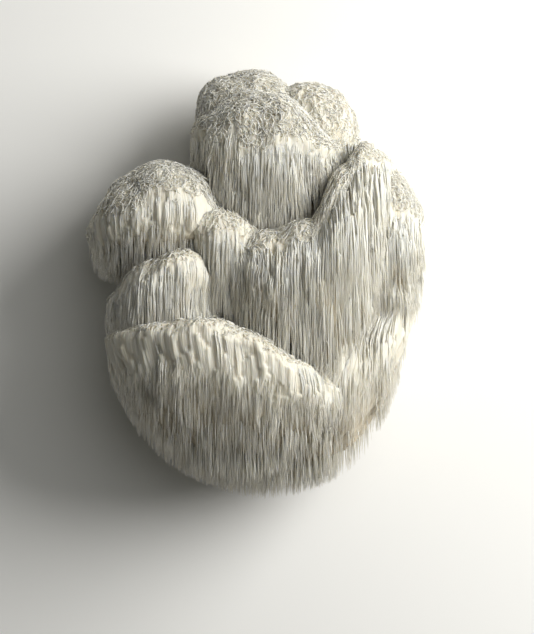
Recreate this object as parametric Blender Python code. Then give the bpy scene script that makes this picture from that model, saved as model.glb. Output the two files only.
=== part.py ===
# A lion's mane mushroom, picked from its trunk and lying on the flat cut at its back.
#
# +X is to the right as the mushroom is seen from the front, +Y is up as it grew, and +Z points
# away from the trunk. The flat cut lies in the plane Z = 0, and the origin is the middle of the
# footprint. All the spines hung straight down as they grew, so they point along -Y.
#
# The mushroom is one piece of flesh: swollen lobes that run into each other. Each lobe is a bell,
# with a rounded crown and a curtain of spines in locks that end in pointed fringes.

import math
import random
from dataclasses import dataclass

import bmesh
import bpy

MM = 0.001
SEED = 7

# Driving dimensions in millimetres.
LOCK_WIDTH = 9.0       # one lock of spines along the widest part of a lobe
LOCK_DEPTH = 1.4       # how far a lock stands out from the grooves beside it
LOCK_SPREAD = (0.6, 1.3)    # the slightest and the boldest lock, as shares of LOCK_DEPTH
LOCK_TIP = 9.0         # how far the longest lock's tip hangs below its fringe
LOWEST_TIP = 0.7       # share of LOCK_TIP on the fringe at the foot
TIP_FLARE = 1.0        # how far the tips stand out from the curtain
LEDGE = 4.0            # how far one fringe overhangs the curtain below it
LUMP = 1.6             # low swellings around a lobe
MAT = 1.8              # tangled knobs on the crowns

CROWN_RINGS = 3        # rings that round each crown, from its middle to its shoulder
RETURN = 0.03          # share of the curtain that the underside of a fringe rises
LAST_DROP = 0.96       # share of the way down the curtain of the lowest fringe
CUT_REACH = 400.0      # the cutting block, larger than the mushroom


@dataclass
class Lobe:
    """One bell. Crest and fringe are (x, y) points, and x, z are (low, high)."""
    name: str
    x: tuple
    z: tuple
    crest: tuple
    fringe: tuple
    dome: float          # share of the height that the rounded crown takes
    tiers: int           # fringes one above another
    closing: float       # 0 for a straight skirt, 1 for a bottom that closes like an egg
    squareness: float = 2.2
    lean: float = 0.0    # how far the bottom leans along X
    boxiness: float = 2.4    # 2 for a round bell seen from above, more for a squarer one
    recede: tuple = (0.0, 0.0)    # above this height it draws back, by this much for each millimetre


LOBES = (
    Lobe("crown_knob", (-30, 24), (12, 62), ((-30, 110), (-8, 108), (24, 106)),
         ((-30, 76), (24, 76)), 0.75, 1, 0.25),
    Lobe("upper_front", (-32, 44), (2, 84), ((-32, 90), (-8, 97), (12, 96), (44, 80)),
         ((-32, 52), (-14, 35), (4, 26), (22, 30), (44, 45)), 0.38, 2, 0.10),
    Lobe("upper_right", (2, 52), (3, 60), ((2, 102), (28, 103), (52, 100)),
         ((2, 56), (52, 56)), 0.55, 1, 0.10),
    Lobe("left_upper", (-83, -8), (4, 93), ((-83, 48), (-66, 57), (-47, 61), (-30, 60), (-8, 46)),
         ((-83, -2), (-60, 5), (-27, 6), (-8, -20)), 0.48, 2, 0.42),
    Lobe("left_middle", (-73, -13), (6, 104), ((-73, -1), (-52, 12), (-34, 17), (-13, 13)),
         ((-73, -31), (-13, -31)), 0.24, 1, 0.08),
    Lobe("right_front", (-18, 68), (8, 110),
         ((-18, 24), (8, 27), (27, 33), (44, 60), (54, 74), (68, 72)),
         ((-18, -24), (2, -34), (22, -41), (38, -48), (50, -30), (68, -4)), 0.15, 2, 0.12, recede=(0, 0.45)),
    Lobe("right_side", (34, 84), (3, 84), ((34, 60), (67, 60), (84, 58)),
         ((34, -15), (84, -15)), 0.36, 2, 0.20, recede=(-10, 0.3)),
    Lobe("lower_back", (-30, 82), (3, 92), ((-30, -36), (45, -26), (60, -4), (82, 10)),
         ((-30, -103), (0, -105), (82, -103)), 0.12, 3, 1.0, 3.2, -22.0, recede=(-40, 0.42)),
    Lobe("lower_front", (-74, 45), (4, 122), ((-74, -19), (-20, -16), (-5, -23), (22, -35), (45, -46)),
         ((-74, -98), (-20, -100), (45, -96)), 0.09, 3, 1.0, 2.1, 6.0),
    Lobe("valley", (-36, 9), (10, 86), ((-36, 52), (-20, 38), (9, 30)), ((-36, -12), (9, -20)),
         0.30, 1, 0.10),
)

# The heart of the flesh, which joins the lobes and gives the broad face of the cut.
HEART_CENTRE = (0, -12, 36)
HEART_RADII = (60, 76, 46)


def height_at(points, x):
    """The height of a line through the points at x, smooth between them and level beyond them."""
    if x <= points[0][0]:
        return points[0][1]
    for (x0, y0), (x1, y1) in zip(points, points[1:]):
        if x <= x1:
            share = (x - x0) / (x1 - x0)
            return y0 + (y1 - y0) * share * share * (3 - 2 * share)
    return points[-1][1]


@dataclass
class Ring:
    """One ring round a bell, and how its locks stand out."""
    turn: float          # 0 at the crown's middle, 1 at its shoulder
    drop: float = 0.0    # 0 at the shoulder, 1 at the foot of the curtain
    ridge: float = 0.0   # share of LOCK_DEPTH
    mat: float = 0.0     # share of MAT
    tip: float = 0.0     # share of LOCK_TIP
    rise: float = 0.0    # share of the curtain's height that it is lifted
    inset: float = 0.0   # millimetres drawn in towards the axis
    inward: float = 1.0  # share of the radius that is left inside the foot
    stagger: int = 0     # locks of one tier fall between those of the tier above


def rings_of(tiers):
    """A bell's rings from the crown's middle down the outside, then across the hollow of the foot."""
    rings = [Ring(0, mat=0.5)]
    for step in range(1, CROWN_RINGS + 1):
        share = step / CROWN_RINGS
        rings.append(Ring(share, ridge=0.5 * share, mat=1 - 0.5 * share))
    for tier in range(tiers):
        top, bottom = LAST_DROP * tier / tiers, LAST_DROP * (tier + 1) / tiers
        rings.append(Ring(1, (top + bottom) / 2, ridge=0.9, stagger=tier % 2))
        tip = 1.0 if tier < tiers - 1 else LOWEST_TIP
        rings.append(Ring(1, bottom, ridge=1.0, tip=tip, stagger=tier % 2))
        rings.append(Ring(1, bottom, rise=RETURN, inset=LEDGE))
    rings.append(Ring(1, bottom, rise=2 * RETURN, inset=LEDGE / 2, inward=0.5))
    rings.append(Ring(1, bottom, rise=2 * RETURN, inward=0.0))
    return rings


def curtain_radius(lobe, drop):
    """The bell's radius as a share, at a share of the way down its curtain."""
    closed = (1 - min(max(drop, 0), LAST_DROP) ** lobe.squareness) ** 0.5
    return 1 - lobe.closing * (1 - closed)


def boxed(across, away, boxiness):
    """A direction drawn out from the unit circle to a rounded square."""
    reach = (abs(across) ** boxiness + abs(away) ** boxiness) ** (-1 / boxiness)
    return across * reach, away * reach


def depth_kept(lobe, height):
    """The share of its depth that a lobe still has at a height."""
    start, rate = lobe.recede
    return 1 - rate * max(height - start, 0) / lobe.z[1]


def lump_at(angle, phases):
    """Low swellings around a lobe, in millimetres."""
    waves = (math.sin(count * angle + phase) / count for count, phase in zip((2, 3, 5), phases))
    return LUMP * sum(waves)


def bell_of(lobe):
    """A sphere whose rings are drawn into the lobe's bell, as a mesh object."""
    chance = random.Random(f"{SEED} {lobe.name}")
    centre_x, half_x = sum(lobe.x) / 2, (lobe.x[1] - lobe.x[0]) / 2
    centre_z, half_z = sum(lobe.z) / 2, (lobe.z[1] - lobe.z[0]) / 2
    height = height_at(lobe.crest, centre_x) - height_at(lobe.fringe, centre_x)
    curtain = height * (1 - lobe.dome)
    girth = 2 * math.pi * math.sqrt((half_x ** 2 + half_z ** 2) / 2)
    columns = 2 * round(girth / LOCK_WIDTH)
    rings = rings_of(lobe.tiers)
    phases = [chance.uniform(0, 2 * math.pi) for _ in range(3)]
    chances = [[chance.random() for _ in range(columns)] for _ in rings]

    mesh = bmesh.new()
    bmesh.ops.create_uvsphere(mesh, u_segments=columns, v_segments=len(rings) - 1, radius=1)
    for vert in mesh.verts:
        ring_index = round((len(rings) - 1) * math.acos(max(-1, min(1, vert.co.z))) / math.pi)
        angle = math.atan2(-vert.co.y, vert.co.x)    # turned so that the faces still point out
        column = round(columns * angle / (2 * math.pi)) % columns
        ring = rings[ring_index]
        luck = chances[ring_index][column]
        on_lock = (column + ring.stagger) % 2 == 0

        hang = ring.tip * LOCK_TIP * luck if on_lock else 0
        drop = ring.drop + hang / curtain
        turn = math.pi / 2 * ring.turn
        share = math.sin(turn) * curtain_radius(lobe, drop) * ring.inward
        slight, bold = LOCK_SPREAD
        stand = LOCK_DEPTH * (slight + (bold - slight) * luck) if on_lock else -LOCK_DEPTH
        flare = TIP_FLARE * ring.tip if on_lock else 0
        out = ring.ridge * (stand + lump_at(angle, phases)) + flare + ring.mat * MAT * luck - ring.inset
        across, away = boxed(math.cos(angle), math.sin(angle), lobe.boxiness)
        if share == 0:    # the poles stay single points
            out = 0
        x = centre_x + lobe.lean * drop + (half_x * share + out) * across
        z = centre_z + (half_z * share + out) * away

        foot, top = height_at(lobe.fringe, x), height_at(lobe.crest, x)
        fallen = lobe.dome * (1 - math.cos(turn)) + (1 - lobe.dome) * (drop - ring.rise)
        y = top - (top - foot) * fallen + ring.mat * MAT * (luck - 0.5)
        vert.co = (x * MM, y * MM, z * depth_kept(lobe, y) * MM)
    return object_from(mesh, lobe.name)


def heart():
    """The flesh between the lobes."""
    mesh = bmesh.new()
    bmesh.ops.create_uvsphere(mesh, u_segments=32, v_segments=16, radius=1)
    for vert in mesh.verts:
        vert.co = [(centre + radius * share) * MM
                   for centre, radius, share in zip(HEART_CENTRE, HEART_RADII, vert.co)]
    return object_from(mesh, "fruiting_body")


def cutting_block():
    """Everything behind the flat cut."""
    mesh = bmesh.new()
    bmesh.ops.create_cube(mesh, size=CUT_REACH * MM)
    bmesh.ops.translate(mesh, verts=mesh.verts, vec=(0, 0, -CUT_REACH / 2 * MM))
    return object_from(mesh, "cutting_block")


def object_from(mesh, name):
    """A new object with this bmesh."""
    data = bpy.data.meshes.new(name)
    mesh.to_mesh(data)
    mesh.free()
    return bpy.data.objects.new(name, data)


def boolean(body, operation):
    """A Boolean modifier that is still without its operand."""
    modifier = body.modifiers.new(operation.lower(), "BOOLEAN")
    modifier.operation = operation
    modifier.solver = "EXACT"
    return modifier


def flesh_material():
    material = bpy.data.materials.new("mushroom_flesh")
    material.use_nodes = True
    shader = material.node_tree.nodes["Principled BSDF"]
    shader.inputs["Base Color"].default_value = (0.84, 0.80, 0.69, 1)
    shader.inputs["Roughness"].default_value = 0.75
    shader.inputs["Metallic"].default_value = 0.0
    return material


def collection(name):
    found = bpy.data.collections.new(name)
    bpy.context.scene.collection.children.link(found)
    return found


def skins_of(mesh):
    """The skins of a bmesh as lists of faces. Skins that touch along an edge or at a point count apart."""
    left = set(mesh.faces)
    found = []
    while left:
        skin, to_search = [], [left.pop()]
        while to_search:
            face = to_search.pop()
            skin.append(face)
            beside = {other for edge in face.edges if len(edge.link_faces) == 2 for other in edge.link_faces}
            to_search.extend(beside & left)
            left -= beside
        found.append(skin)
    return found


def joined(body):
    """The joined lobes as one plain mesh of triangles.

    Pockets sealed between the lobes are flesh, so they go, and so do flat slivers on the outside.
    """
    graph = bpy.context.evaluated_depsgraph_get()
    data = bpy.data.meshes.new_from_object(body.evaluated_get(graph))
    mesh = bmesh.new()
    mesh.from_mesh(data)
    bmesh.ops.triangulate(mesh, faces=mesh.faces)
    skins = sorted(skins_of(mesh), key=len)
    pockets = [face for skin in skins[:-1] for face in skin]
    bmesh.ops.delete(mesh, geom=pockets, context="FACES")
    mesh.to_mesh(data)
    mesh.free()
    return data


def add_helper(group, helper):
    """Puts an object that only shapes the body in its collection, out of sight."""
    group.objects.link(helper)
    helper.hide_render = True
    helper.display_type = "WIRE"


def build():
    for old in list(bpy.data.objects):
        bpy.data.objects.remove(old)
    mushroom, lobes, cutters = (collection(name) for name in ("lions_mane_mushroom", "lobes", "cutters"))
    body = heart()
    mushroom.objects.link(body)
    body.data.materials.append(flesh_material())

    block = cutting_block()
    add_helper(cutters, block)
    boolean(body, "DIFFERENCE").object = block
    for lobe in LOBES:
        add_helper(lobes, bell_of(lobe))
    union = boolean(body, "UNION")
    union.operand_type = "COLLECTION"
    union.collection = lobes

    body.data = joined(body)
    body.modifiers.clear()
    body.data.shade_smooth()
    body.data.set_sharp_from_angle(angle=math.radians(40))


build()
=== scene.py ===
# %% [markdown]
# # A lion's mane mushroom, spine by spine
#
# A lion's mane is one piece of soft white flesh. It has no cap and no gills. It swells into
# lobes, and every lobe is hung with thousands of soft spines that point straight down as the
# mushroom grows. This one has been cut from its trunk and lies on the flat cut at its back, so
# the camera looks down on it, and "down as it grew" is the -Y direction of the scene.
#
# The lesson starts from a plain solid of the same shape, loads it as a fixed frame, and grows
# the spines on surfaces that follow the same few dimensions.

# %% Load the frame
import math
from dataclasses import dataclass

import bmesh
import bpy
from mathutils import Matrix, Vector, noise


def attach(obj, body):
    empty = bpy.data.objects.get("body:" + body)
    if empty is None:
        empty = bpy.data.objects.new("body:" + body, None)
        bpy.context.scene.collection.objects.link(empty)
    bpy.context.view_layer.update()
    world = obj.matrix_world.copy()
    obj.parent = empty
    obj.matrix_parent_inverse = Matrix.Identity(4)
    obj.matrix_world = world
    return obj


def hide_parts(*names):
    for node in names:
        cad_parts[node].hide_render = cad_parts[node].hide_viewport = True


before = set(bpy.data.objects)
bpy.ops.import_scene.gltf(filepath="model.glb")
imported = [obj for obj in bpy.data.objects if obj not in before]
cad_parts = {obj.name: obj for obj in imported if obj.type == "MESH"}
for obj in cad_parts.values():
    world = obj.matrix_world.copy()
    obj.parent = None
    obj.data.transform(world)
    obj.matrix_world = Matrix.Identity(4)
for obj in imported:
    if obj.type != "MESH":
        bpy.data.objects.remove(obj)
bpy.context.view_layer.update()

MM = 0.001
SEED = 11
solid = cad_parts["fruiting_body"]

# %% [markdown]
# ## Sockets that understand arithmetic
#
# Shaders and Geometry Nodes are both networks of small steps. Written out by hand, a formula
# such as `1 - mask * 0.3` takes three nodes and five links. A class that wraps one socket and
# answers to Python's own operators lets the script say the formula, and adds the nodes itself.
# Numbers use Math nodes, and anything with a vector in it uses Vector Math.

# %% A socket wrapped as a value
class Wire:
    """One output of a node. Python's operators on it add Math or Vector Math nodes."""

    def __init__(self, tree, socket):
        self.tree, self.socket = tree, socket

    def __getitem__(self, name):
        """Another output of the same node."""
        return Wire(self.tree, find_socket(self.socket.node.outputs, name))

    def __add__(self, other): return self.tree.maths("ADD", self, other)
    def __radd__(self, other): return self.tree.maths("ADD", other, self)
    def __sub__(self, other): return self.tree.maths("SUBTRACT", self, other)
    def __rsub__(self, other): return self.tree.maths("SUBTRACT", other, self)
    def __mul__(self, other): return self.tree.maths("MULTIPLY", self, other)
    def __rmul__(self, other): return self.tree.maths("MULTIPLY", other, self)
    def __truediv__(self, other): return self.tree.maths("DIVIDE", self, other)
    def __rtruediv__(self, other): return self.tree.maths("DIVIDE", other, self)
    def __pow__(self, other): return self.tree.maths("POWER", self, other)
    def __neg__(self): return self.tree.maths("MULTIPLY", self, -1.0)


def find_socket(sockets, name):
    """The socket in use with this name or place."""
    used = [socket for socket in sockets if socket.enabled]
    if isinstance(name, int):
        return used[name]
    return next(socket for socket in used if name in (socket.name, socket.identifier))


# %% A tree that adds its own nodes
class Tree:
    """A shader or geometry node tree."""

    def __init__(self, nodes):
        self.nodes = nodes

    def node(self, kind, settings=None, inputs=None):
        """Adds a node, sets it up, fills its sockets with values or links, and gives its first output."""
        made = self.nodes.nodes.new(kind)
        for name, setting in (settings or {}).items():
            setattr(made, name, setting)
        for name, value in (inputs or {}).items():
            self.connect(find_socket(made.inputs, name), value)
        outputs = [socket for socket in made.outputs if socket.enabled]
        return Wire(self, outputs[0]) if outputs else made

    def connect(self, socket, value):
        if isinstance(value, Wire):
            self.nodes.links.new(value.socket, socket)
        else:
            socket.default_value = value

    def maths(self, operation, *terms):
        vectors = [term for term in terms if isinstance(term, tuple)
                   or isinstance(term, Wire) and term.socket.type in ("VECTOR", "RGBA")]
        kind = "ShaderNodeVectorMath" if vectors else "ShaderNodeMath"
        if vectors:
            terms = [(term,) * 3 if isinstance(term, (int, float)) else term for term in terms]
        return self.node(kind, {"operation": operation}, dict(enumerate(terms)))

    def smooth(self, value, low, high, to_low=0.0, to_high=1.0):
        """Turns a value's way from low to high into an eased way from to_low to to_high."""
        names = ("Value", "From Min", "From Max", "To Min", "To Max")
        return self.node("ShaderNodeMapRange", {"interpolation_type": "SMOOTHSTEP"},
                         dict(zip(names, (value, low, high, to_low, to_high))))

    def vector(self, x, y, z):
        return self.node("ShaderNodeCombineXYZ", None, {"X": x, "Y": y, "Z": z})

    def parts(self, vector):
        """A vector's X, Y and Z."""
        split = self.node("ShaderNodeSeparateXYZ", None, {0: vector})
        return split["X"], split["Y"], split["Z"]

    def colour_mix(self, factor, first, second):
        return self.node("ShaderNodeMix", {"data_type": "RGBA"}, {"Factor": factor, "A": first, "B": second})


print("sockets take", ", ".join(sorted(name for name in vars(Wire) if name.startswith("__r"))))

# %% [markdown]
# ## The lobes
#
# Each lobe is a bell: a rounded crown, a shoulder, and a curtain that hangs from it. Seen from
# the front, a bell is given by its width, the line of its crest and the line of its fringe, and
# seen from above by its depth from front to back. The numbers are millimetres, and they are the
# same ones that the solid was built from, so the spines end where its fringes do. Only the last
# one, a small bell that fills the valley between two others, stands 9 mm further forward here.

# %% The lobes in millimetres
@dataclass
class Lobe:
    """One bell. Crest and fringe are (x, y) points, and x, z are (low, high)."""
    name: str
    x: tuple
    z: tuple
    crest: tuple
    fringe: tuple
    dome: float
    closing: float
    squareness: float = 2.2
    lean: float = 0.0
    boxiness: float = 2.4
    recede: tuple = (0.0, 0.0)


LOBES = (
    Lobe("crown_knob", (-30, 24), (12, 62), ((-30, 110), (-8, 108), (24, 106)),
         ((-30, 76), (24, 76)), 0.75, 0.25),
    Lobe("upper_front", (-32, 44), (2, 84), ((-32, 90), (-8, 97), (12, 96), (44, 80)),
         ((-32, 52), (-14, 35), (4, 26), (22, 30), (44, 45)), 0.38, 0.10),
    Lobe("upper_right", (2, 52), (3, 60), ((2, 102), (28, 103), (52, 100)),
         ((2, 56), (52, 56)), 0.55, 0.10),
    Lobe("left_upper", (-83, -8), (4, 93), ((-83, 48), (-66, 57), (-47, 61), (-30, 60), (-8, 46)),
         ((-83, -2), (-60, 5), (-27, 6), (-8, -20)), 0.48, 0.42),
    Lobe("left_middle", (-73, -13), (6, 104), ((-73, -1), (-52, 12), (-34, 17), (-13, 13)),
         ((-73, -31), (-13, -31)), 0.24, 0.08),
    Lobe("right_front", (-18, 68), (8, 110),
         ((-18, 24), (8, 27), (27, 33), (44, 60), (54, 74), (68, 72)),
         ((-18, -24), (2, -34), (22, -41), (38, -48), (50, -30), (68, -4)), 0.15, 0.12, recede=(0, 0.45)),
    Lobe("right_side", (34, 84), (3, 84), ((34, 60), (67, 60), (84, 58)),
         ((34, -15), (84, -15)), 0.36, 0.20, recede=(-10, 0.3)),
    Lobe("lower_back", (-30, 82), (3, 92), ((-30, -36), (45, -26), (60, -4), (82, 10)),
         ((-30, -103), (0, -105), (82, -103)), 0.12, 1.0, 3.2, -22.0, recede=(-40, 0.42)),
    Lobe("lower_front", (-74, 45), (4, 122), ((-74, -19), (-20, -16), (-5, -23), (22, -35), (45, -46)),
         ((-74, -98), (-20, -100), (45, -96)), 0.09, 1.0, 2.1, 6.0),
    Lobe("valley", (-36, 9), (10, 95), ((-36, 52), (-20, 38), (9, 30)), ((-36, -12), (9, -20)), 0.30, 0.1),
)
LAST_DROP = 0.997      # how far down the curtain the foot closes
print(len(LOBES), "lobes:", ", ".join(lobe.name for lobe in LOBES))

# %% [markdown]
# ## A bell as a sheet of cloth
#
# A bell could be modelled by hand, but spines need more than a shape: they need to know which
# way is round the bell and which way is down it. So the bell starts as a flat grid with a UV
# map, where U is the way round and V is the way from the crown's middle down to the foot, and
# every corner of the grid is then moved to its place on the bell. Any point of the map can be
# looked up later as a point in space.

# %% Lumps and folds
LUMP = 1.6             # how far a lump swells out, in millimetres
LUMP_SIZE = 17.0
KNOT = 1.4
KNOT_SIZE = 8.0
FOLD = 2.2             # upright folds in the curtains
FOLD_SIZE = (7.5, 45.0, 7.5)


def swell(place, on_top):
    """How far the flesh stands out at a place: lumps and knots on top, upright folds at the sides."""
    lump = noise.noise(place / LUMP_SIZE) * LUMP
    knot = noise.noise(place / KNOT_SIZE + Vector((9, 0, 0))) * KNOT
    fold = noise.noise(Vector([value / size for value, size in zip(place, FOLD_SIZE)])) * FOLD
    return lump + knot * on_top + fold * (1 - on_top)


print("swellings of up to", LUMP + max(KNOT, FOLD), "mm")


# %% Points on a bell
def height_at(points, x):
    """The height of a line through the points at x, smooth between them and level beyond them."""
    if x <= points[0][0]:
        return points[0][1]
    for (x0, y0), (x1, y1) in zip(points, points[1:]):
        if x <= x1:
            share = (x - x0) / (x1 - x0)
            return y0 + (y1 - y0) * share * share * (3 - 2 * share)
    return points[-1][1]


class Bell:
    """A lobe's measures, and the points of its surface."""

    def __init__(self, lobe):
        self.lobe = lobe
        self.centre_x, self.half_x = sum(lobe.x) / 2, (lobe.x[1] - lobe.x[0]) / 2
        self.centre_z, self.half_z = sum(lobe.z) / 2, (lobe.z[1] - lobe.z[0]) / 2
        height = height_at(lobe.crest, self.centre_x) - height_at(lobe.fringe, self.centre_x)
        self.curtain = height * (1 - lobe.dome)
        self.rim = height * lobe.dome
        mean_half = math.sqrt((self.half_x ** 2 + self.half_z ** 2) / 2)
        self.girth = 2 * math.pi * mean_half
        self.crown = math.pi / 2 * math.sqrt((mean_half ** 2 + (height * lobe.dome) ** 2) / 2)
        self.length = self.crown + self.curtain

    def radius(self, drop):
        """The radius as a share, at a share of the way down the curtain."""
        closed = (1 - min(max(drop, 0), LAST_DROP) ** self.lobe.squareness) ** 0.5
        return 1 - self.lobe.closing * (1 - closed)

    def dome(self, share, frontness):
        """How steep the dome is at a share of the way to the shoulder, and how far out it lies.

        At the sides it is a quarter of an ellipse. At the front it is flat, with a round rim.
        """
        turn = math.pi / 2 * share
        flat = max(self.half_z - self.rim, 0)
        way = share * (flat + math.pi / 2 * self.rim)
        bend = max(way - flat, 0) / self.rim
        rimmed = (min(way, flat) + self.rim * math.sin(bend)) / (flat + self.rim)
        return turn + (bend - turn) * frontness, math.sin(turn) + (rimmed - math.sin(turn)) * frontness

    def point(self, around, along, inset=0.0, inward=1.0):
        """The place at shares of the way round and down the bell, in millimetres."""
        lobe = self.lobe
        way = along * self.length
        drop = max(way - self.crown, 0) / self.curtain
        angle = 2 * math.pi * (around - 0.25)
        across, away = math.cos(angle), math.sin(angle)
        turn, spread = self.dome(min(way / self.crown, 1), away * away)
        reach = (abs(across) ** lobe.boxiness + abs(away) ** lobe.boxiness) ** (-1 / lobe.boxiness)
        share = spread * self.radius(drop) * inward
        x = self.centre_x + lobe.lean * drop + max(self.half_x * share - inset, 0) * across * reach
        z = self.centre_z + max(self.half_z * share - inset, 0) * away * reach
        foot, top = height_at(lobe.fringe, x), height_at(lobe.crest, x)
        fallen = lobe.dome * (1 - math.cos(turn)) + (1 - lobe.dome) * drop
        place = Vector((x, top - (top - foot) * fallen, z))
        place.z *= 1 - lobe.recede[1] * max(place.y - lobe.recede[0], 0) / lobe.z[1]
        up = max(math.cos(turn), 0)
        outward = Vector((across * math.sin(turn), up, away * math.sin(turn))).normalized()
        return place + outward * swell(place, min(up * 2, 1))


BELLS = {lobe.name: Bell(lobe) for lobe in LOBES}
for name, bell in BELLS.items():
    print(f"{name}: {bell.girth:.0f} mm round, crown {bell.crown:.0f} mm, curtain {bell.curtain:.0f} mm")

# %% The guide sheets
WAY = "way"            # the UV map's name
AROUND_STEPS = 120
ALONG_STEPS = 72


def sheet_of(bell, name):
    """An open sheet over the whole bell, whose UV map says how far round and down each point is."""
    mesh = bmesh.new()
    mesh.loops.layers.uv.new(WAY)
    bmesh.ops.create_grid(mesh, x_segments=AROUND_STEPS, y_segments=ALONG_STEPS, size=1, calc_uvs=True)
    for vert in mesh.verts:
        around, along = (vert.co.x + 1) / 2, (vert.co.y + 1) / 2
        vert.co = bell.point(around, along) * MM
    data = bpy.data.meshes.new(name)
    mesh.to_mesh(data)
    mesh.free()
    data.shade_smooth()
    return bpy.data.objects.new(name, data)


SHEETS = {name: sheet_of(bell, f"{name}_sheet") for name, bell in BELLS.items()}
print("sheets with", AROUND_STEPS * ALONG_STEPS, "faces each")

# %% [markdown]
# ## Networks that grow along a bell
#
# Real spines are too many to place by hand. Particles or hair curves would be the usual way, but
# neither survives as a plain mesh. Geometry Nodes can do the same with curves: a network
# scatters points, puts a straight line on each, and bends every line by looking its points up on
# the bell. Three networks share these steps, so they are methods of one class.

# %% Names for the values carried along a strand
ALONG = "along"        # 0 at a strand's root, 1 at its tip
TONE = "tone"          # a chance value for each strand
ROUND_AT = "round_at"  # where it is rooted, as a share of the way round
ROOT_AT = "root_at"    # where it is rooted, as a length down the bell
TIP_AT = "tip_at"
SIDE = "side"
RISE = "rise"
SPREAD = "spread"
PHASE = "phase"
HELPERS = (ROUND_AT, ROOT_AT, TIP_AT, SIDE, RISE, SPREAD, PHASE)
HIDDEN_DEPTH = 8 * MM  # a spine that lies deeper inside the solid all the way is left out
SHALLOW = 3.5 * MM     # and so is a strand of a mat that is rooted deeper than this
LOWEST = 0.8 * MM      # no strand comes nearer to the floor
STRAND_SIDES = 3


# %% The class that the networks share
class GrowingTree(Tree):
    """A geometry node tree with named inputs, which reads a bell as a sheet."""

    def __init__(self, name, inputs):
        super().__init__(bpy.data.node_groups.new(name, "GeometryNodeTree"))
        face = self.nodes.interface
        self.sockets = {}
        for label, kind in inputs.items():
            made = face.new_socket(label, in_out="INPUT", socket_type=f"NodeSocket{kind}")
            self.sockets[label] = made.identifier
        face.new_socket("Geometry", in_out="OUTPUT", socket_type="NodeSocketGeometry")
        self.given = self.node("NodeGroupInput")

    def attribute(self, name, kind="FLOAT"):
        return self.node("GeometryNodeInputNamedAttribute", {"data_type": kind}, {"Name": name})

    def store(self, geometry, name, value):
        return self.node("GeometryNodeStoreNamedAttribute", {"data_type": "FLOAT", "domain": "POINT"},
                         {"Geometry": geometry, "Name": name, "Value": value})

    def chance(self, low, high, seed):
        """A chance value for each element, from low to high."""
        return self.node("FunctionNodeRandomValue", {"data_type": "FLOAT"},
                         {"Min": low, "Max": high, "Seed": seed})

    def mix(self, share, low, high):
        return low + (high - low) * share

    def compare(self, first, second, operation="GREATER_THAN"):
        return self.node("FunctionNodeCompare", {"operation": operation}, {"A": first, "B": second})

    def drop(self, geometry, chosen):
        return self.node("GeometryNodeDeleteGeometry", {"domain": "POINT"},
                         {"Geometry": geometry, "Selection": chosen})

    def scatter(self, surface, spacing, seed, chosen=True):
        """Points on a surface, none nearer to another than the spacing."""
        return self.node("GeometryNodeDistributePointsOnFaces", {"distribute_method": "POISSON"}, {
            "Mesh": surface, "Selection": chosen, "Distance Min": spacing,
            "Density Max": 5.0 / (spacing ** 2.0), "Density Factor": 1.0, "Seed": seed})

    def scatter_flat(self, first, last):
        """Points on a flat sheet as wide as the bell is round, told where they belong on the bell."""
        given = self.given
        reach = last - first
        flat = self.node("GeometryNodeMeshGrid", None, {
            "Size X": given["Girth"], "Size Y": reach / given["Stretch"], "Vertices X": 2, "Vertices Y": 2})
        points = self.scatter(flat, given["Spacing"], given["Seed"])
        x, y, _ = self.parts(self.node("GeometryNodeInputPosition"))
        points = self.store(points, ROUND_AT, x / given["Girth"] + 0.5)
        return self.store(points, ROOT_AT, y * given["Stretch"] + reach * 0.5 + first)

    def lookup(self, value, around, way):
        """A vector of the bell's surface, at a share of the way round and a length down it."""
        wrapped = self.maths("FRACT", around)
        along = self.maths("MAXIMUM", self.maths("MINIMUM", way / self.given["Length"], 0.999), 0.001)
        return self.node("GeometryNodeSampleUVSurface", {"data_type": "FLOAT_VECTOR"},
                         {"Mesh": self.given["Geometry"], "Value": value,
                          "UV Map": self.attribute(WAY, "FLOAT_VECTOR"),
                          "Sample UV": self.vector(wrapped, along, 0.0)})

    def place_at(self, around, way):
        return self.lookup(self.node("GeometryNodeInputPosition"), around, way)

    def out_at(self, around, way):
        return self.lookup(self.node("GeometryNodeInputNormal"), around, way)

    def depth_at(self, place):
        """How deep a place lies inside the solid."""
        shape = self.node("GeometryNodeObjectInfo", None, {"Object": self.given["Solid"]})["Geometry"]
        near = self.node("GeometryNodeProximity", {"target_element": "FACES"},
                         {"Geometry": shape, "Sample Position": place})
        out = self.node("GeometryNodeSampleNearestSurface", {"data_type": "FLOAT_VECTOR"},
                        {"Mesh": shape, "Value": self.node("GeometryNodeInputNormal"),
                         "Sample Position": place})
        return self.node("ShaderNodeVectorMath", {"operation": "DOT_PRODUCT"},
                         {0: near - place, 1: out})["Value"]

    def drop_hidden(self, points, first, last):
        """Drops points whose strand, from first to last down the bell, is deep inside the solid."""
        around = self.attribute(ROUND_AT)
        depths = [self.depth_at(self.place_at(around, self.mix(share, first, last)))
                  for share in (0.1, 0.5, 0.9)]
        least = self.maths("MINIMUM", self.maths("MINIMUM", depths[0], depths[1]), depths[2])
        return self.drop(points, self.compare(least, HIDDEN_DEPTH))

    def lines(self, points, count):
        """A line of so many points on each scattered point, with the share of the way along it."""
        line = self.node("GeometryNodeResampleCurve", None, {
            0: self.node("GeometryNodeCurvePrimitiveLine"), "Count": count})
        made = self.node("GeometryNodeInstanceOnPoints", None, {"Points": points, "Instance": line})
        made = self.node("GeometryNodeRealizeInstances", None, {"Geometry": made})
        return self.store(made, ALONG, self.node("GeometryNodeSplineParameter"))

    def bend(self, lines, place):
        """Moves the lines' points to their places, none below the floor."""
        x, y, z = self.parts(place)
        return self.node("GeometryNodeSetPosition", None, {
            "Geometry": lines, "Position": self.vector(x, y, self.maths("MAXIMUM", z, LOWEST))})

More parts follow.
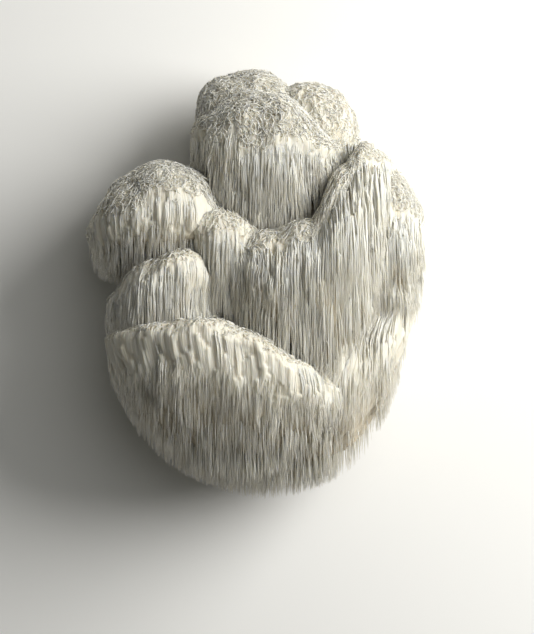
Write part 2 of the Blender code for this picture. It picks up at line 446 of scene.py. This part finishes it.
    def finish(self, lines, radius):
        """Closed tubes along the lines, shaded smooth and painted."""
        ring = self.node("GeometryNodeCurvePrimitiveCircle", {"mode": "RADIUS"},
                         {"Resolution": STRAND_SIDES, "Radius": 1.0})
        mesh = self.node("GeometryNodeCurveToMesh", None,
                         {"Curve": lines, "Profile Curve": ring, "Scale": radius, "Fill Caps": True})
        self.close(self.node("GeometryNodeSetShadeSmooth", None, {0: mesh}))

    def close(self, geometry):
        realized = self.node("GeometryNodeRealizeInstances", None, {"Geometry": geometry})
        painted = self.node("GeometryNodeSetMaterial", None,
                            {"Geometry": realized, "Material": self.given["Material"]})
        out = self.nodes.nodes.new("NodeGroupOutput")
        self.nodes.links.new(painted.socket, out.inputs[0])


BELL_INPUTS = {"Geometry": "Geometry", "Solid": "Object", "Girth": "Float", "Length": "Float",
               "Shoulder": "Float", "Spacing": "Float", "Radius": "Float", "Seed": "Int",
               "Material": "Material"}
print("every network takes", ", ".join(BELL_INPUTS))

# %% [markdown]
# ## Fused tongues
#
# Under a crest the spines are fused into soft tongues with round tops, one overlapping the next
# like the feathers of a wing. The unrolled bell is divided into the stretched cells of a Voronoi
# pattern. In each cell a point's place is measured from the cell's own middle, which gives one
# tongue: round on top, and fading out below. Flesh and spines both follow these tongues.

# %% How far the tongues stand out
TONGUE_WIDTH = 3.6 * MM
TONGUE_LENGTH = 20 * MM
TONGUE_DEPTH = 1.3 * MM
TOP_OF_CELL = 0.42     # how far above a cell's middle its tongue starts, in cells
HALF_WIDTH = 0.56      # a little more than half a cell, so that neighbours touch


def sunk_between_tongues(tree, x, y, drop):
    """How deep a place of the unrolled bell lies below the tops of the tongues."""
    stretch = TONGUE_LENGTH / TONGUE_WIDTH
    cells = tree.node("ShaderNodeTexVoronoi", {"voronoi_dimensions": "2D"}, {
        "Vector": tree.vector(x / TONGUE_WIDTH, y / TONGUE_LENGTH, 0.0), "Scale": 1.0, "Randomness": 0.9})
    cell_x, cell_y, _ = tree.parts(cells["Position"])
    aside, below_top = x / TONGUE_WIDTH - cell_x, y / TONGUE_LENGTH - cell_y + TOP_OF_CELL
    over = tree.maths("MINIMUM", below_top * stretch - HALF_WIDTH, 0.0) / HALF_WIDTH
    inside = 1.0 - (aside / HALF_WIDTH) ** 2.0 - over * over
    round_top = tree.maths("SQRT", tree.maths("MAXIMUM", inside, 0.0))
    tongue = round_top * tree.smooth(below_top, 0.0, 1.2, 1.0, 0.5)
    return (1.0 - tongue) * tree.smooth(drop, 0.3, 1.0, TONGUE_DEPTH, TONGUE_DEPTH * 0.4)


print(f"tongues of {TONGUE_WIDTH / MM} by {TONGUE_LENGTH / MM} mm")

# %% [markdown]
# ## Curtains of spines
#
# Past the shoulder of a lobe the spines hang. They stand in tufts, a few millimetres wide, and a
# tuft splits into single spines lower down. So one scattered point stands for a tuft, and is
# copied once for each of its spines. Up to the shoulder a spine follows the surface, and below it
# hangs plumb, so that on a lobe that curves under only the tips show, like fur. Towards the fringe
# the spines with the lowest chance tone sink in, and the material paints them tan as shade, so
# they stand for the shaded gaps between spines.

# %% The network that hangs a curtain
SPINE_POINTS = 6
CURTAIN_INPUTS = {**BELL_INPUTS, "Start": "Float", "End": "Float", "Stretch": "Float", "Spines": "Int",
                  "Width": "Float", "Height": "Float", "Shortest": "Float", "Longest": "Float",
                  "First Tip": "Float", "Overhang": "Float", "Flare": "Float", "Taper From": "Float"}
TOO_SHORT = 9 * MM
STAGGER = 18 * MM      # how far apart in height the first tips end
RAGGED = 6 * MM        # how much longer or shorter than its tuft a spine is
RAGGED_FOOT = 9 * MM   # how far above the lowest place the lowest tips end
TUFT_CURVE = 4 * MM    # how far down the outer spines of a tuft are rooted
WAVER = 1.4 * MM
ROOT_SUNK = 0.9 * MM
GAP_SUNK = 1.2 * MM    # how deep the spines that stand for gaps lie


def curtain_tree():
    tree = GrowingTree("spine_curtain", CURTAIN_INPUTS)
    given, seed = tree.given, tree.given["Seed"]
    tufts = tree.scatter_flat(given["Start"], given["End"])
    around, root = tree.attribute(ROUND_AT), tree.attribute(ROOT_AT)
    lowest = given["Length"] + given["Overhang"]
    free = root + tree.chance(given["Shortest"], given["Longest"], seed + 1)
    least = given["First Tip"] + tree.chance(0.0, STAGGER, seed + 7)
    tufts = tree.store(tufts, TIP_AT, tree.maths("MINIMUM", tree.maths("MAXIMUM", free, least), lowest))
    tip = tree.attribute(TIP_AT)
    tufts = tree.drop(tufts, tree.compare(root + given["Shortest"], lowest + 4 * MM))
    tufts = tree.drop_hidden(tufts, root, tip)
    tufts = tree.store(tufts, RISE, given["Height"] * tree.chance(0.0, 1.0, seed + 2))
    tufts = tree.store(tufts, SPREAD, given["Width"] * tree.chance(0.5, 0.6, seed + 3))

    copies = tree.node("GeometryNodeDuplicateElements", {"domain": "POINT"},
                       {"Geometry": tufts, "Amount": given["Spines"]})
    order = copies["Duplicate Index"] / (given["Spines"] - 1.0)
    spines = tree.store(copies, SIDE, order * 2.0 - 1.0 + tree.chance(-0.25, 0.25, seed + 4))
    spines = tree.store(spines, TONE, tree.chance(0.0, 1.0, seed + 5))
    ragged = tree.maths("MINIMUM", tip + tree.chance(-RAGGED, RAGGED, seed + 6),
                        lowest - tree.chance(0.0, RAGGED_FOOT, seed + 8))
    spines = tree.store(spines, TIP_AT, ragged)
    spines = tree.drop(spines, tree.compare(root + TOO_SHORT, tip))

    lines = tree.lines(spines, SPINE_POINTS)
    along, side, rise = tree.attribute(ALONG), tree.attribute(SIDE), tree.attribute(RISE)
    way = tree.mix(along, root + side * side * TUFT_CURVE, tip)
    grain = tree.node("ShaderNodeTexNoise", None, {
        "Vector": tree.vector(around * given["Girth"], way, given["Girth"]), "Scale": 90.0, "Detail": 1.0})
    fanned = tree.smooth(along, 0.0, 0.3, 0.5, 1.0)
    aside = side * tree.attribute(SPREAD) * fanned + (grain - 0.5) * WAVER
    round_now = around + aside / given["Girth"]
    x, y, z = tree.parts(tree.place_at(round_now, way))
    x_tip, _, z_tip = tree.parts(tree.place_at(round_now, tip))
    plumb = tree.smooth(way, given["Shoulder"] - 4 * MM, given["Shoulder"] + 12 * MM)
    past = tree.maths("MAXIMUM", way - given["Length"], 0.0)
    hung = tree.vector(tree.mix(plumb, x, x_tip), y - past, tree.mix(plumb, z, z_tip))
    crest = tree.maths("SQRT", tree.maths("MAXIMUM", 1.0 - side * side * 0.8, 0.0))
    drop = (way - given["Shoulder"]) / (given["Length"] - given["Shoulder"])
    sunk = sunk_between_tongues(tree, tree.maths("FRACT", round_now) * given["Girth"], way, drop)
    lift = tree.smooth(along, 0.0, 0.3, -ROOT_SUNK, 0.1 * MM) - sunk
    lift = lift + rise * crest * tree.smooth(along, 0.2, 0.6) * tree.smooth(along, 0.6, 1.0, 1.0, 0.2)
    lift = lift + tree.smooth(along, 0.4, 1.0) * tree.attribute(TONE) * given["Flare"]
    deep = tree.smooth(tree.attribute(TONE), 0.22, 0.3, 1.0, 0.0) * tree.smooth(drop, 0.3, 0.7)
    lift = lift - deep * GAP_SUNK
    lines = tree.bend(lines, hung + tree.out_at(round_now, way) * lift)
    taper = tree.smooth(along, given["Taper From"], 1.0, 1.0, 0.15) * tree.smooth(along, 0.0, 0.5, 1.3, 1.0)
    tree.finish(lines, given["Radius"] * tree.mix(tree.attribute(TONE), 0.75, 1.2) * taper)
    return tree


CURTAIN = curtain_tree()
print("curtain network:", len(CURTAIN.nodes.nodes), "nodes")

# %% [markdown]
# ## The matted crowns
#
# On top of a lobe the spines have nowhere to hang. They lie in a curly mat over small pits, which
# the flesh's material paints tan as shade, with strands that rise, bend over and dive back in.
# This network scatters its points over the bell itself, because a crown is round and a flat sheet
# would crowd them in the middle.

# %% The network that mats a crown
CURL_POINTS = 6
MAT_INPUTS = {**BELL_INPUTS, "End": "Float", "Reach": "Float", "Curl": "Float", "Height": "Float"}
EDGE_WAVER = 44 * MM   # how far up and down the edge of the mat wanders
DIVE = 1.2 * MM        # how deep in the flesh a curl starts and ends
CURL_TURN = 6.0        # how far a curl turns from end to end, in radians


def mat_tree():
    tree = GrowingTree("crown_mat", MAT_INPUTS)
    given, seed = tree.given, tree.given["Seed"]
    round_at, down_at, _ = tree.parts(tree.attribute(WAY, "FLOAT_VECTOR"))
    edge = tree.node("ShaderNodeTexNoise", None, {
        "Vector": tree.node("GeometryNodeInputPosition"), "Scale": 60.0, "Detail": 2.0})
    ending = given["End"] + (edge - 0.5) * EDGE_WAVER
    roots = tree.scatter(given["Geometry"], given["Spacing"], seed,
                         tree.compare(down_at * given["Length"], ending, "LESS_THAN"))
    roots = tree.store(roots, ROUND_AT, round_at)
    roots = tree.store(roots, ROOT_AT, down_at * given["Length"])
    roots = tree.drop(roots, tree.compare(tree.depth_at(tree.node("GeometryNodeInputPosition")), SHALLOW))
    roots = tree.store(roots, TONE, tree.chance(0.0, 1.0, seed + 1))
    roots = tree.store(roots, RISE, given["Height"] * tree.chance(0.2, 1.0, seed + 2) ** 1.5)
    roots = tree.store(roots, SPREAD, given["Reach"] * tree.chance(0.5, 1.2, seed + 3))
    roots = tree.store(roots, PHASE, tree.chance(0.0, 6.28, seed + 4))
    roots = tree.store(roots, SIDE, tree.chance(-1.0, 1.0, seed + 5))

    lines = tree.lines(roots, CURL_POINTS)
    along, reach, root = tree.attribute(ALONG), tree.attribute(SPREAD), tree.attribute(ROOT_AT)
    turn = tree.attribute(PHASE) + along * CURL_TURN
    steep = tree.smooth(root, given["Shoulder"] * 0.15, given["Shoulder"] * 0.75, 0.0, 1.0)
    heading = tree.attribute(SIDE) * tree.mix(steep, 3.1, 0.7)
    curl = given["Curl"] * tree.mix(tree.attribute(TONE), 0.5, 1.3)
    way = root + tree.maths("COSINE", heading) * along * reach + tree.maths("COSINE", turn) * curl
    girth = given["Girth"] * tree.smooth(way, 0.0, given["Shoulder"], 0.12, 1.0)
    aside = tree.maths("SINE", heading) * along * reach + tree.maths("SINE", turn) * curl
    round_now = tree.attribute(ROUND_AT) + aside / girth
    arch = tree.maths("SINE", along * 3.1416) ** 0.6
    lift = arch * (tree.attribute(RISE) + DIVE) - DIVE
    lines = tree.bend(lines, tree.place_at(round_now, way) + tree.out_at(round_now, way) * lift)
    radius = given["Radius"] * tree.mix(tree.attribute(TONE), 0.7, 1.3) * tree.mix(arch, 0.5, 1.0)
    tree.finish(lines, radius)
    return tree


MAT = mat_tree()
print("mat network:", len(MAT.nodes.nodes), "nodes")

# %% Growing a piece from a network
grown = []


def grow(name, tree, data, values):
    """Runs a network on a mesh and keeps the result, if there is any, as a plain mesh object."""
    carrier = bpy.data.objects.new(name, data)
    bpy.context.scene.collection.objects.link(carrier)
    modifier = carrier.modifiers.new("grow", "NODES")
    modifier.node_group = tree.nodes
    for label, value in values.items():
        modifier[tree.sockets[label]] = value
    graph = bpy.context.evaluated_depsgraph_get()
    mesh = bpy.data.meshes.new_from_object(carrier.evaluated_get(graph))
    carrier.modifiers.clear()
    if not mesh.polygons:
        bpy.data.objects.remove(carrier)
        print(f"{name}: nothing shows, so nothing is kept")
        return
    carrier.data = mesh
    for attribute in HELPERS:
        if attribute in mesh.attributes:
            mesh.attributes.remove(mesh.attributes[attribute])
    grown.append(carrier)
    print(f"{name}: {sum(len(face.vertices) - 2 for face in mesh.polygons)} triangles")


# %% [markdown]
# ## The flesh under the spines
#
# Under a crest the spines are fused into soft tongues with round tops, and single spines only
# come free of them lower down. Where the flesh faces up it is a web with pits, which the material
# paints tan as shade. Each lobe gets a closed body from the same bell, drawn in towards its foot,
# which is raised so that the spines hang free below it. The seam at the back and the two poles
# of the grid are welded. Every corner also keeps its place on the unrolled bell, which the
# tongues are laid out on.

# %% The bare flesh of a lobe
CROWN_INSET = 0.2      # how far below the outside of the spines it lies, on top
FOOT_INSET = 5.0       # and at the foot
FREE_TIPS = 12.0       # how far the spines hang below the flesh
UNDER_STEPS = 6        # rows that close the foot
GRAIN = 0.9            # the size of a face
WELD = 0.02            # how near to each other corners are joined
DROP = "drop"          # how far down the curtain the flesh lies, from 0 to 1
UNROLLED = "unrolled"  # lengths round and down the bell


def flesh_of(bell, name):
    """The bell drawn in, with a closed foot, as a mesh."""
    around_steps, along_steps = round(bell.girth / GRAIN), round(bell.length / GRAIN)
    rows = along_steps + UNDER_STEPS
    mesh = bmesh.new()
    down = mesh.verts.layers.float.new(DROP)
    unrolled = mesh.verts.layers.float_vector.new(UNROLLED)
    bmesh.ops.create_grid(mesh, x_segments=around_steps, y_segments=rows, size=1)
    for vert in mesh.verts:
        around, row = (vert.co.x + 1) / 2, (vert.co.y + 1) / 2 * rows
        along = min(row / along_steps, 1)
        inward = 1 - max(row - along_steps, 0) / UNDER_STEPS
        turn = math.pi / 2 * min(along * bell.length / bell.crown, 1)
        drop = max(along * bell.length - bell.crown, 0) / bell.curtain
        place = bell.point(around, along, FOOT_INSET * drop ** 1.3, inward)
        place.y += FREE_TIPS * drop ** 1.5 - CROWN_INSET * math.cos(turn)
        vert.co = place * MM
        vert[down] = drop
        vert[unrolled] = Vector((around * bell.girth, row * bell.length / along_steps, 0)) * MM
    bmesh.ops.remove_doubles(mesh, verts=mesh.verts, dist=WELD * MM)
    data = bpy.data.meshes.new(name)
    mesh.to_mesh(data)
    mesh.free()
    data.shade_smooth()
    return data


# %% The network that shapes the flesh
# The groove mask marks where the flesh material paints shade, in tan and brown.
GROOVE = "groove"      # 1 in a pit or between tongues
CROWN = "crown"        # 1 where the flesh faces up and is matted
RELIEF_INPUTS = {"Geometry": "Geometry", "Pit Size": "Float", "Pit Depth": "Float", "Material": "Material"}


def relief_tree():
    tree = GrowingTree("flesh_relief", RELIEF_INPUTS)
    given = tree.given
    place, out = tree.node("GeometryNodeInputPosition"), tree.node("GeometryNodeInputNormal")
    facing_up = tree.smooth(tree.parts(out)[1], 0.35, 0.8)
    web = tree.node("ShaderNodeTexVoronoi", {"feature": "DISTANCE_TO_EDGE"}, {
        "Vector": place * (1.0, 0.6, 1.0), "Scale": 1.0 / given["Pit Size"]})
    pit = tree.smooth(web, 0.06, 0.3)
    x, y, _ = tree.parts(tree.attribute(UNROLLED, "FLOAT_VECTOR"))
    sunk = sunk_between_tongues(tree, x, y, tree.attribute(DROP))
    groove = tree.mix(facing_up, tree.smooth(sunk, 0.4 * TONGUE_DEPTH, 0.9 * TONGUE_DEPTH), pit)
    depth = tree.mix(facing_up, sunk, pit * given["Pit Depth"])
    surface = tree.store(tree.store(given, GROOVE, groove), CROWN, facing_up)
    surface = tree.node("GeometryNodeSetPosition", None, {"Geometry": surface, "Offset": out * (-depth)})
    tree.close(surface)
    return tree


RELIEF = relief_tree()
print("relief network:", len(RELIEF.nodes.nodes), "nodes")

# %% [markdown]
# ## Colours
#
# Fresh spines are a warm cream white and let a little light through. Their tips are a touch
# yellower. Shade is painted in tan: on the spines that stand for the gaps between spines, on the
# flesh between the tongues and in the crown's pits, and darker brown towards the foot. Everything
# follows the values that the networks left on the meshes: how far along a strand a point is, the
# strand's own chance tone, and how deep in a groove the flesh lies. The cut flesh behind the
# lobes is marbled, with pores.

# %% Settings that all the flesh shares
CREAM = (0.85, 0.835, 0.755, 1)
IVORY = (0.80, 0.765, 0.65, 1)
SOFT_CREAM = (0.78, 0.765, 0.70, 1)
SOFT_IVORY = (0.62, 0.59, 0.50, 1)
TIP_TAN = (0.62, 0.53, 0.37, 1)
# The warm tan is the real colour of the cut's veins, and also painted shade in the gaps between spines, in
# the crown's pits and on the flesh towards the foot. The deep tan is painted shade only, in the grooves near
# the foot.
VEIN_AND_SHADE_TAN = (0.55, 0.485, 0.37, 1)
DEEP_SHADE_TAN = (0.30, 0.24, 0.165, 1)


def shader_tree(name):
    """A new material, its tree and its Principled BSDF node."""
    material = bpy.data.materials.new(name)
    material.use_nodes = True
    return material, Tree(material.node_tree), material.node_tree.nodes["Principled BSDF"]


def soft_flesh(shader, through):
    """Settings that are the same all over soft, matt, slightly see-through flesh."""
    settings = {"Subsurface Weight": through, "Subsurface Scale": 3.0 * MM,
                "Subsurface Radius": (1.0, 0.85, 0.6), "Specular IOR Level": 0.3}
    for name, value in settings.items():
        shader.inputs[name].default_value = value


print("tans:", TIP_TAN[:3], VEIN_AND_SHADE_TAN[:3], DEEP_SHADE_TAN[:3])


# %% The material of the spines
def spine_material():
    material, tree, shader = shader_tree("spine_cream")
    along = tree.node("ShaderNodeAttribute", {"attribute_name": ALONG})["Fac"]
    tone = tree.node("ShaderNodeAttribute", {"attribute_name": TONE})["Fac"]
    place = tree.node("ShaderNodeTexCoord")["Object"]
    lines = tree.node("ShaderNodeTexNoise", None, {
        "Vector": place * (1.0, 0.06, 1.0), "Scale": 900.0, "Detail": 2.0})
    bump = tree.node("ShaderNodeBump", None, {"Height": lines, "Strength": 0.8, "Distance": 0.2 * MM})
    tree.connect(shader.inputs["Normal"], bump)
    tree.connect(shader.inputs["Roughness"], 0.5 + lines * 0.25)
    base = tree.colour_mix(tone * 0.7 + lines * 0.3, CREAM, IVORY)
    tipped = tree.colour_mix(tree.smooth(along, 0.6, 1.0, 0.0, 0.15), base, TIP_TAN)
    # Painted shade: towards the fringe the spines with the lowest tone turn tan, and stand for the shaded
    # gaps between spines.
    shaded = tree.smooth(tone, 0.22, 0.3, 0.8, 0.0) * tree.smooth(along, 0.3, 0.8)
    tree.connect(shader.inputs["Base Color"], tree.colour_mix(shaded, tipped, VEIN_AND_SHADE_TAN))
    soft_flesh(shader, 0.6)
    return material


# %% The material of the flesh under the spines
def flesh_material():
    """Tongues with fine upright lines, painted shade in tan between them that darkens to brown towards the
    foot, and a web on the crowns whose pits are painted tan as shade.
    """
    material, tree, shader = shader_tree("flesh_tan")
    place = tree.node("ShaderNodeTexCoord")["Object"]
    groove, down, crown = (tree.node("ShaderNodeAttribute", {"attribute_name": name})["Fac"]
                           for name in (GROOVE, DROP, CROWN))
    patches = tree.node("ShaderNodeTexNoise", None, {"Vector": place, "Scale": 60.0, "Detail": 3.0})
    wobble = tree.node("ShaderNodeTexNoise", None, {"Vector": place, "Scale": 300.0, "Detail": 1.0})["Color"]
    web = tree.node("ShaderNodeTexVoronoi", {"feature": "DISTANCE_TO_EDGE"}, {
        "Vector": (place + wobble * 0.002) * (1.0, 0.6, 1.0), "Scale": 420.0})
    hole = tree.smooth(web, 0.05, 0.4) * crown
    unrolled = tree.node("ShaderNodeAttribute", {"attribute_name": UNROLLED})["Vector"]
    lines = tree.node("ShaderNodeTexNoise", None, {
        "Vector": unrolled * (1.0, 0.08, 1.0), "Scale": 1000.0, "Detail": 2.0})
    height = lines * (0.7 * (1.0 - crown)) - hole
    bump = tree.node("ShaderNodeBump", None, {"Height": height, "Strength": 1.0, "Distance": 1.0 * MM})
    tree.connect(shader.inputs["Normal"], bump)
    tree.connect(shader.inputs["Roughness"], 0.5 + lines * 0.25)
    # Painted shade: the flesh turns tan and then dark brown towards the foot, under the curtains. The
    # grooves between tongues and the crown's pits take the darker colours, as shade in hollows.
    shade_towards_foot = tree.smooth(down, 0.3, 0.75)
    ridge = tree.colour_mix(shade_towards_foot, tree.colour_mix(lines, SOFT_CREAM, SOFT_IVORY), VEIN_AND_SHADE_TAN)
    pit = tree.colour_mix(shade_towards_foot, tree.colour_mix(patches, VEIN_AND_SHADE_TAN, IVORY), DEEP_SHADE_TAN)
    tree.connect(shader.inputs["Base Color"],
                 tree.colour_mix(tree.maths("MAXIMUM", groove * 0.5, hole), ridge, pit))
    soft_flesh(shader, 0.5)
    return material


# %% The material of the cut
def cut_material():
    """The dense flesh that the lobes grow from, marbled where it is cut."""
    material, tree, shader = shader_tree("cut_flesh")
    place = tree.node("ShaderNodeTexCoord")["Object"]
    veins = tree.node("ShaderNodeTexVoronoi", {"feature": "DISTANCE_TO_EDGE"}, {
        "Vector": place, "Scale": 110.0})
    clouds = tree.node("ShaderNodeTexNoise", None, {"Vector": place, "Scale": 45.0, "Detail": 5.0})
    pores = tree.node("ShaderNodeTexNoise", None, {"Vector": place, "Scale": 900.0, "Detail": 2.0})
    marbled = tree.colour_mix(tree.smooth(clouds, 0.35, 0.65), SOFT_CREAM, IVORY)
    tree.connect(shader.inputs["Base Color"],
                 tree.colour_mix(tree.smooth(veins, 0.0, 0.12, 0.5, 0.0), marbled, VEIN_AND_SHADE_TAN))
    height = pores * 0.5 + tree.smooth(veins, 0.0, 0.12) * 0.5
    tree.connect(shader.inputs["Normal"], tree.node("ShaderNodeBump", None, {
        "Height": height, "Strength": 0.8, "Distance": 0.6 * MM}))
    tree.connect(shader.inputs["Roughness"], 0.55 + pores * 0.25)
    soft_flesh(shader, 0.3)
    return material


SPINE_CREAM, FLESH_WITH_PAINTED_SHADE, CUT_FLESH = spine_material(), flesh_material(), cut_material()
print("materials:", SPINE_CREAM.name, FLESH_WITH_PAINTED_SHADE.name, CUT_FLESH.name)

# %% [markdown]
# ## Growing the pieces
#
# Every lobe gets the same four pieces: a curtain of spines, a few bolder locks over it, a mat on
# its crown, and the flesh under them. They differ in how far down the mat reaches and how close
# the strands stand. A strand that would lie deep inside another lobe isn't kept.

# %% Grow every lobe
MAT_PAST = {"crown_knob": 8, "upper_front": -4, "upper_right": 4, "left_upper": -12, "right_side": -6,
            "right_front": -4}     # where the mat ends, in millimetres past the shoulder
THIN_MAT_PAST = -12                # and on the lobes with a thin mat
MAT_SPACING = {"right_front": 1.8, "upper_right": 2.0}
THICK_SPACING, THIN_SPACING = 1.4, 2.4
TUFT_SPACING = {"lower_front": 2.2, "upper_front": 2.2}
USUAL_TUFT_SPACING = 2.5

for number, (name, bell) in enumerate(BELLS.items()):
    crown, curtain = bell.crown * MM, bell.curtain * MM
    mat_end = crown + MAT_PAST.get(name, THIN_MAT_PAST) * MM
    mat_spacing = MAT_SPACING.get(name, THICK_SPACING if name in MAT_PAST else THIN_SPACING)
    shared = {"Solid": solid, "Girth": bell.girth * MM, "Length": bell.length * MM, "Shoulder": crown,
              "Material": SPINE_CREAM, "Seed": SEED + 20 * number}
    hanging = {**shared, "Overhang": 5 * MM * (1 - bell.lobe.closing), "Stretch": 3.0, "Width": 4.5 * MM,
               "Flare": 1.2 * MM, "Taper From": 0.3 + 0.25 * bell.lobe.closing}
    grow(f"{name}_spines", CURTAIN, SHEETS[name].data, {
        **hanging, "Start": mat_end - 2 * MM, "End": bell.length * 0.95 * MM,
        "Spacing": TUFT_SPACING.get(name, USUAL_TUFT_SPACING) * MM, "Spines": 5,
        "Height": 0.9 * MM, "Radius": 0.38 * MM, "Shortest": 16 * MM, "Longest": 36 * MM,
        "First Tip": crown + 0.25 * curtain})
    grow(f"{name}_locks", CURTAIN, SHEETS[name].data, {
        **hanging, "Start": crown - 4 * MM, "End": crown + 12 * MM, "Spacing": 5.0 * MM, "Spines": 6,
        "Height": 1.6 * MM, "Radius": 0.42 * MM, "Shortest": 18 * MM, "Longest": 34 * MM,
        "First Tip": crown + 0.3 * curtain, "Seed": SEED + 20 * number + 10})
    grow(f"{name}_mat", MAT, SHEETS[name].data, {
        **shared, "End": mat_end, "Spacing": mat_spacing * MM,
        "Reach": 6 * MM, "Curl": 1.5 * MM, "Height": 1.0 * MM, "Radius": 0.27 * MM})
    grow(f"{name}_flesh", RELIEF, flesh_of(bell, f"{name}_flesh"), {
        "Pit Size": 4.0 * MM, "Pit Depth": 0.9 * MM, "Material": FLESH_WITH_PAINTED_SHADE})
strands = [piece for piece in grown if not piece.name.endswith("_flesh")]
strand_triangles = sum(len(piece.data.loop_triangles) for piece in strands)
print(len(grown), "pieces;", strand_triangles, "triangles of strands")

# %% [markdown]
# ## The heart and its cut
#
# Behind the curtains the lobes run together in one dense mass, which is where the mushroom was cut
# from its trunk. It starts as a ball, stretched and made lumpy with noise, and a plane cuts it flat.
# Its material is the marbled cream of sliced flesh, with fine pores.

# %% The heart
HEART_CENTRE = (0, -12, 36)
HEART_RADII = (56, 72, 40)
HEART_LUMP = 2.5
HEART_LUMP_SIZE = 14.0
CUT_ANGLE = math.radians(40)    # sharper edges than this, such as the rim of the cut, stay sharp


def heart():
    """A stretched and lumpy ball, cut flat."""
    mesh = bmesh.new()
    bmesh.ops.create_uvsphere(mesh, u_segments=160, v_segments=96, radius=1)
    for vert in mesh.verts:
        out = vert.co.copy()
        place = Vector([centre + radius * share
                        for centre, radius, share in zip(HEART_CENTRE, HEART_RADII, out)])
        lump = noise.noise(place / HEART_LUMP_SIZE) + 0.5 * noise.noise(place / HEART_LUMP_SIZE * 2.6)
        vert.co = (place + out * lump * HEART_LUMP) * MM
    cut = bmesh.ops.bisect_plane(mesh, geom=mesh.verts[:] + mesh.edges[:] + mesh.faces[:],
                                 plane_co=(0, 0, 0), plane_no=(0, 0, -1), clear_outer=True)
    rim = [item for item in cut["geom_cut"] if isinstance(item, bmesh.types.BMEdge)]
    bmesh.ops.contextual_create(mesh, geom=rim)
    data = bpy.data.meshes.new("heart")
    mesh.to_mesh(data)
    mesh.free()
    data.shade_smooth()
    data.set_sharp_from_angle(angle=CUT_ANGLE)
    made = bpy.data.objects.new("heart_flesh", data)
    bpy.context.scene.collection.objects.link(made)
    made.data.materials.append(CUT_FLESH)
    return made


heart_flesh = heart()
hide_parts("fruiting_body")
for piece in [*grown, heart_flesh]:
    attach(piece, "root")
print("heart:", len(heart_flesh.data.polygons), "faces")

# %% [markdown]
# ## The studio
#
# The mushroom lies on a pale floor. A large soft light from the upper right gives the shading from
# bright right edges to a dim lower left, a weaker one hangs above, and the world fills the shadows.

# %% The floor
FLOOR_SIZE = 3.0
FLOOR_GAP = 0.3 * MM   # below the cut, so that the two don't share a plane
bpy.ops.mesh.primitive_plane_add(size=FLOOR_SIZE, location=(0, 0, -FLOOR_GAP))
floor = bpy.context.object
floor.name = "floor"
paint, _, paint_shader = shader_tree("pale_floor")
paint_shader.inputs["Base Color"].default_value = (0.92, 0.92, 0.92, 1)
paint_shader.inputs["Roughness"].default_value = 0.9
floor.data.materials.append(paint)
print("floor", FLOOR_SIZE, "m wide")


# %% The lights
AIM = Vector((0, 0, 50)) * MM


def softbox(name, place, size, power, colour):
    """A round soft light that faces the mushroom."""
    data = bpy.data.lights.new(name, "AREA")
    data.shape, data.size, data.energy, data.color = "DISK", size, power, colour
    lamp = bpy.data.objects.new(name, data)
    lamp.location = place
    lamp.rotation_euler = (AIM - Vector(place)).to_track_quat("-Z", "Y").to_euler()
    bpy.context.scene.collection.objects.link(lamp)


softbox("key", place=(0.74, 0.32, 0.58), size=0.85, power=14.5, colour=(1.0, 0.985, 0.94))
softbox("top", place=(0.4, 0.3, 1.5), size=1.2, power=5.0, colour=(1.0, 1.0, 0.95))
world = bpy.data.worlds.new("studio")
bpy.context.scene.world = world
world.use_nodes = True
backdrop = world.node_tree.nodes["Background"]
backdrop.inputs["Color"].default_value = (1.0, 1.0, 0.88, 1)
backdrop.inputs["Strength"].default_value = 0.055
print("two lights and a dim world")

# %% [markdown]
# ## The camera
#
# It looks straight down, because the photograph looks straight at the mushroom's front. Its lens
# makes one pixel half a millimetre wide at the height where the outline lies.

# %% A camera over the mushroom
IMAGE_WIDTH, IMAGE_HEIGHT = 534, 634
PIXEL = 0.5 * MM
ORIGIN_PIXEL = (255, 286.5)    # where the scene's origin is in the image
CAMERA_HEIGHT = 1.6
OUTLINE_HEIGHT = 0.045
SENSOR = 36
camera = bpy.data.objects.new("camera", bpy.data.cameras.new("camera"))
camera.data.sensor_width = SENSOR
camera.data.lens = SENSOR * (CAMERA_HEIGHT - OUTLINE_HEIGHT) / (IMAGE_HEIGHT * PIXEL)
camera_x = (IMAGE_WIDTH / 2 - ORIGIN_PIXEL[0]) * PIXEL
camera_y = (ORIGIN_PIXEL[1] - IMAGE_HEIGHT / 2) * PIXEL
camera.location = (camera_x, camera_y, CAMERA_HEIGHT)
bpy.context.scene.collection.objects.link(camera)
bpy.context.scene.camera = camera
bpy.context.scene.view_settings.view_transform = "Standard"
print("lens", round(camera.data.lens, 1), "mm")
